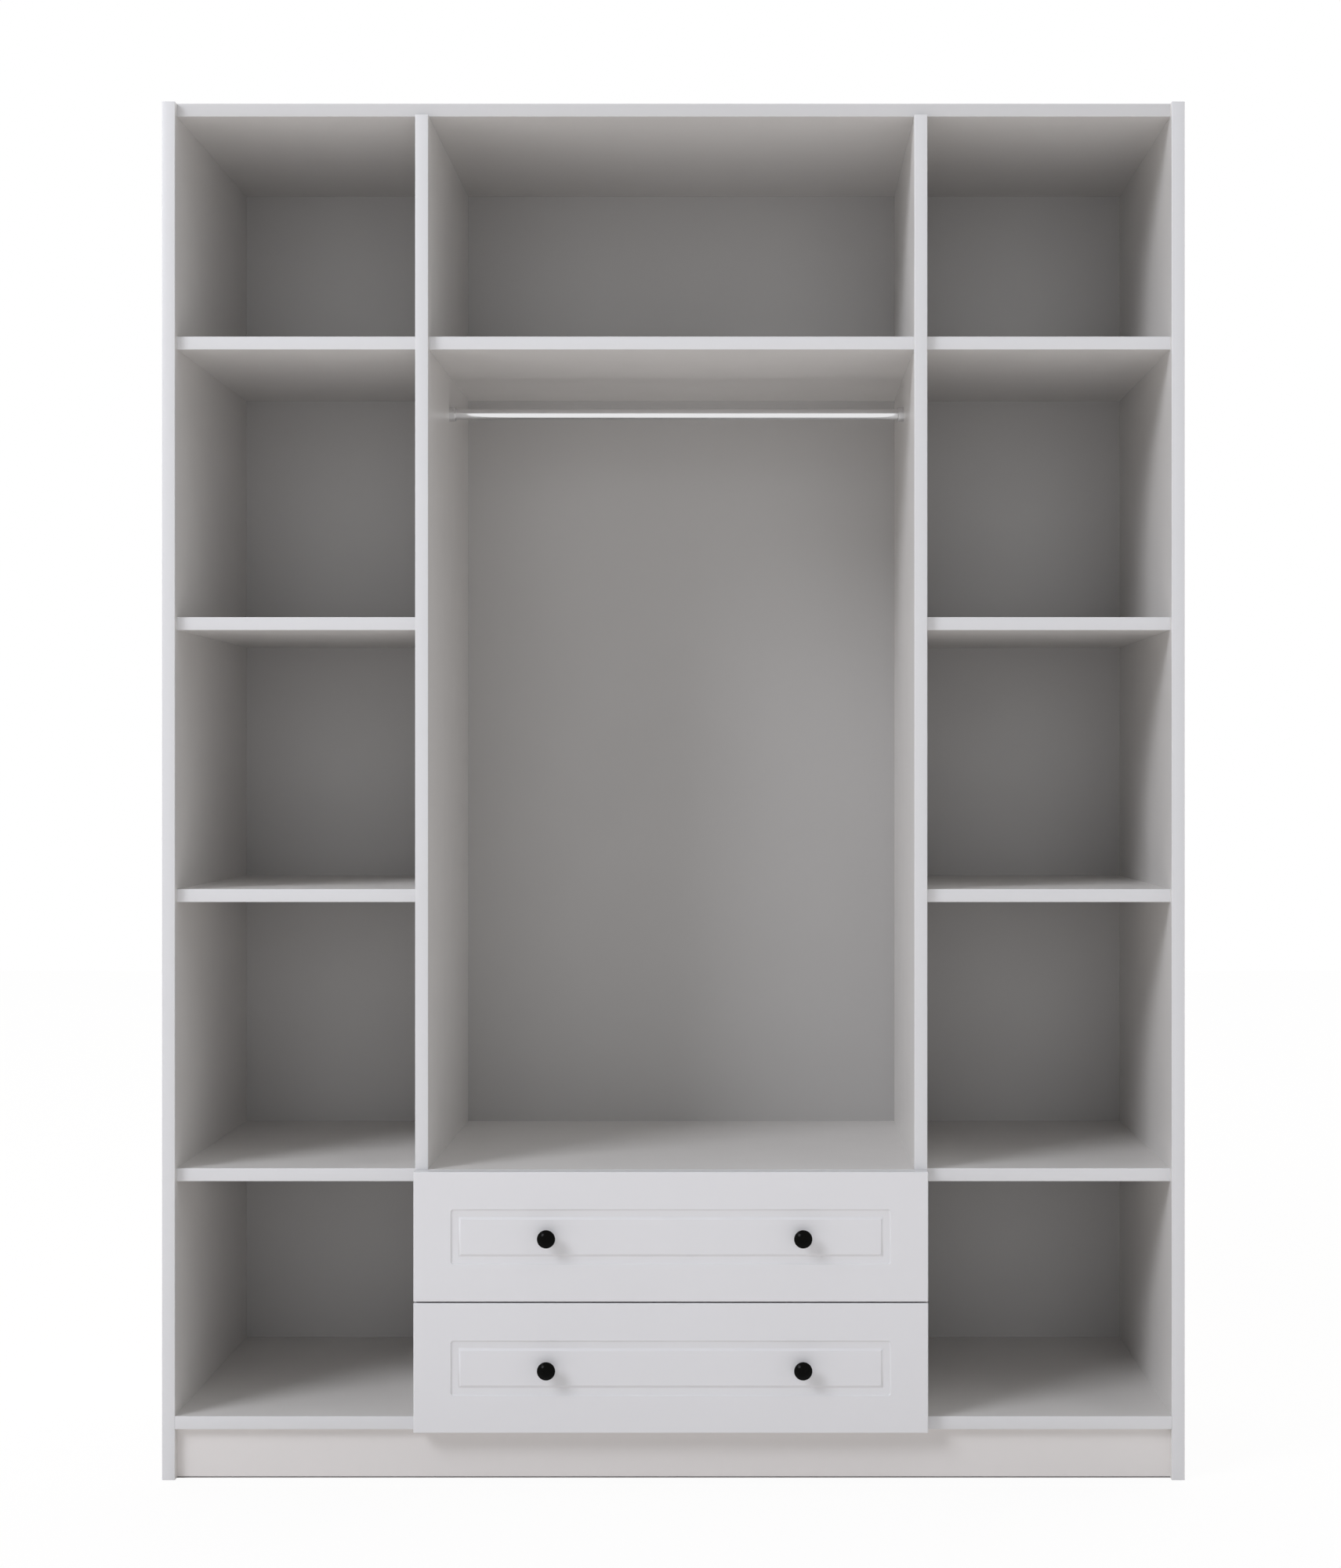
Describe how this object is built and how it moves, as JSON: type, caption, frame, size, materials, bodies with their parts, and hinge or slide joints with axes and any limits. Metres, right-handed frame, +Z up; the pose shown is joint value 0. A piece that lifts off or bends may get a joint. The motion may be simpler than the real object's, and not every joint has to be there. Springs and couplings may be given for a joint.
{
  "type": "wardrobe",
  "caption": "Open white wardrobe: shelved side bays, a hanging bay with hat shelf and chrome rail, and routed drawers with black knobs on ball runners.",
  "frame": {"origin": "on the floor, at the middle of the overall width and depth", "axes": "+Z up, -Y out of the open front, +X to the right for someone who faces the front"},
  "size_m": [1.41, 0.543, 1.9],
  "materials": {
    "board_white": "satin white melamine with white edge banding",
    "front_white": "satin white foil-wrapped MDF",
    "back_white": "white lacquered hardboard",
    "rail_chrome": "polished chrome",
    "knob_black": "gloss black lacquer",
    "runner_steel": "zinc-plated rolled steel",
    "ball_steel": "bright steel balls in steel cages",
    "fitting_steel": "zinc-plated",
    "dowel_wood": "bare beech"
  },
  "bodies": {
    "cabinet": {"left_side_panel": "board_white", "right_side_panel": "board_white", "left_partition": "board_white", "right_partition": "board_white", "top_panel": "board_white", "bottom_panel": "board_white", "plinth_board": "board_white", "rear_plinth_rail": "board_white", "left_shelf_1": "board_white", "left_shelf_2": "board_white", "left_shelf_3": "board_white", "left_shelf_4": "board_white", "right_shelf_1": "board_white", "right_shelf_2": "board_white", "right_shelf_3": "board_white", "right_shelf_4": "board_white", "hat_shelf": "board_white", "drawer_deck": "board_white", "back_panel_left": "back_white", "back_panel_middle": "back_white", "back_panel_right": "back_white", "hanging_rail": "rail_chrome", "rail_socket_left": "rail_chrome", "rail_socket_right": "rail_chrome", "cam_housings": "fitting_steel", "cam_bolts": "fitting_steel", "panel_dowels": "dowel_wood", "fixing_screws": "fitting_steel", "upper_left_channel": "runner_steel", "upper_right_channel": "runner_steel", "lower_left_channel": "runner_steel", "lower_right_channel": "runner_steel"},
    "upper_drawer": {"upper_drawer_front": "front_white", "upper_drawer_left_side": "board_white", "upper_drawer_right_side": "board_white", "upper_drawer_back": "board_white", "upper_drawer_bottom": "back_white", "upper_drawer_knobs": "knob_black", "upper_drawer_fittings": "fitting_steel", "upper_drawer_screws": "fitting_steel", "upper_left_drawer_rail": "runner_steel", "upper_right_drawer_rail": "runner_steel"},
    "upper_carriages": {"upper_left_carriage": "runner_steel", "upper_right_carriage": "runner_steel"},
    "upper_outer_cages": {"upper_outer_ball_cages": "ball_steel"},
    "upper_inner_cages": {"upper_inner_ball_cages": "ball_steel"},
    "lower_drawer": {"lower_drawer_front": "front_white", "lower_drawer_left_side": "board_white", "lower_drawer_right_side": "board_white", "lower_drawer_back": "board_white", "lower_drawer_bottom": "back_white", "lower_drawer_knobs": "knob_black", "lower_drawer_fittings": "fitting_steel", "lower_drawer_screws": "fitting_steel", "lower_left_drawer_rail": "runner_steel", "lower_right_drawer_rail": "runner_steel"},
    "lower_carriages": {"lower_left_carriage": "runner_steel", "lower_right_carriage": "runner_steel"},
    "lower_outer_cages": {"lower_outer_ball_cages": "ball_steel"},
    "lower_inner_cages": {"lower_inner_ball_cages": "ball_steel"}
  },
  "joints": [
    {"name": "upper_drawer_slide", "type": "slide", "parent": "cabinet", "child": "upper_drawer", "axis": [0, -1, 0], "range_m": [0, 0.44]},
    {"name": "upper_carriage_slide", "type": "slide", "parent": "cabinet", "child": "upper_carriages", "axis": [0, -1, 0], "range_m": [0, 0.22]},
    {"name": "upper_outer_cage_slide", "type": "slide", "parent": "cabinet", "child": "upper_outer_cages", "axis": [0, -1, 0], "range_m": [0, 0.11]},
    {"name": "upper_inner_cage_slide", "type": "slide", "parent": "cabinet", "child": "upper_inner_cages", "axis": [0, -1, 0], "range_m": [0, 0.33]},
    {"name": "lower_drawer_slide", "type": "slide", "parent": "cabinet", "child": "lower_drawer", "axis": [0, -1, 0], "range_m": [0, 0.44]},
    {"name": "lower_carriage_slide", "type": "slide", "parent": "cabinet", "child": "lower_carriages", "axis": [0, -1, 0], "range_m": [0, 0.22]},
    {"name": "lower_outer_cage_slide", "type": "slide", "parent": "cabinet", "child": "lower_outer_cages", "axis": [0, -1, 0], "range_m": [0, 0.11]},
    {"name": "lower_inner_cage_slide", "type": "slide", "parent": "cabinet", "child": "lower_inner_cages", "axis": [0, -1, 0], "range_m": [0, 0.33]}
  ],
  "couplings": [
    {"joint": "upper_carriage_slide", "follows": "upper_drawer_slide", "ratio": 0.5},
    {"joint": "upper_outer_cage_slide", "follows": "upper_drawer_slide", "ratio": 0.25},
    {"joint": "upper_inner_cage_slide", "follows": "upper_drawer_slide", "ratio": 0.75},
    {"joint": "lower_carriage_slide", "follows": "lower_drawer_slide", "ratio": 0.5},
    {"joint": "lower_outer_cage_slide", "follows": "lower_drawer_slide", "ratio": 0.25},
    {"joint": "lower_inner_cage_slide", "follows": "lower_drawer_slide", "ratio": 0.75}
  ]
}
